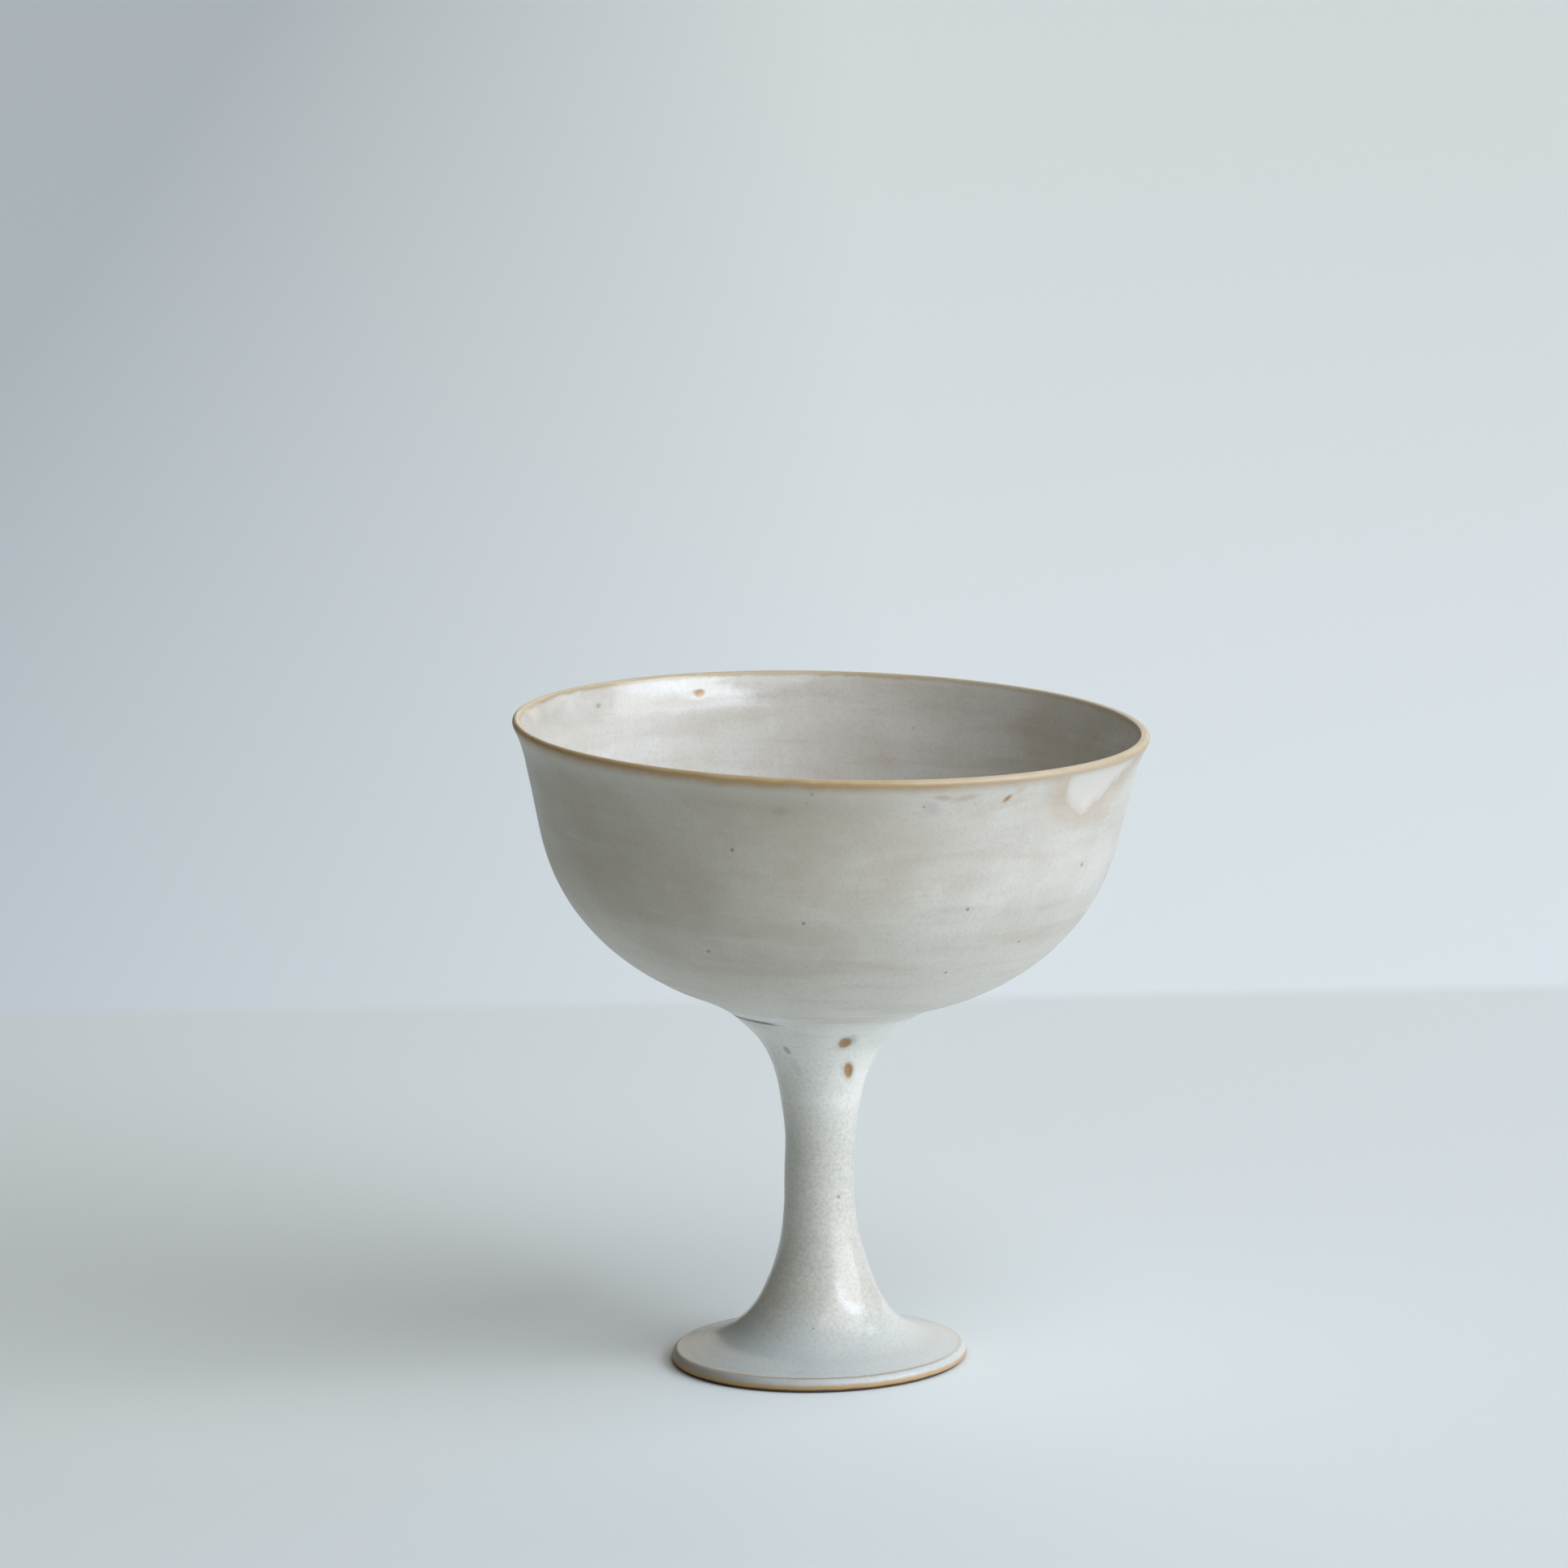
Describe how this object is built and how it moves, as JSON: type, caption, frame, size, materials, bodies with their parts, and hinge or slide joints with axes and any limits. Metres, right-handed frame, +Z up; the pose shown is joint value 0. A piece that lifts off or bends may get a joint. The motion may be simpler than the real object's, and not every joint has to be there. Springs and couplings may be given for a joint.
{
  "type": "goblet",
  "caption": "Stoneware goblet: wide round bowl with a slightly flared lip on a slim waisted stem and a low turned foot, pale glaze with brown edges.",
  "frame": {"origin": "middle of the foot ring, on the surface that the goblet stands on", "axes": "+Z up, +X the side to which the stem and the bowl lean, +Y away from the picture's camera"},
  "size_m": [0.1056, 0.1056, 0.1102],
  "materials": {
    "glaze": "satin pale grey glaze over buff stoneware, brown where it breaks thin on the edges"
  },
  "bodies": {
    "root": {"goblet": "glaze"}
  },
  "joints": []
}
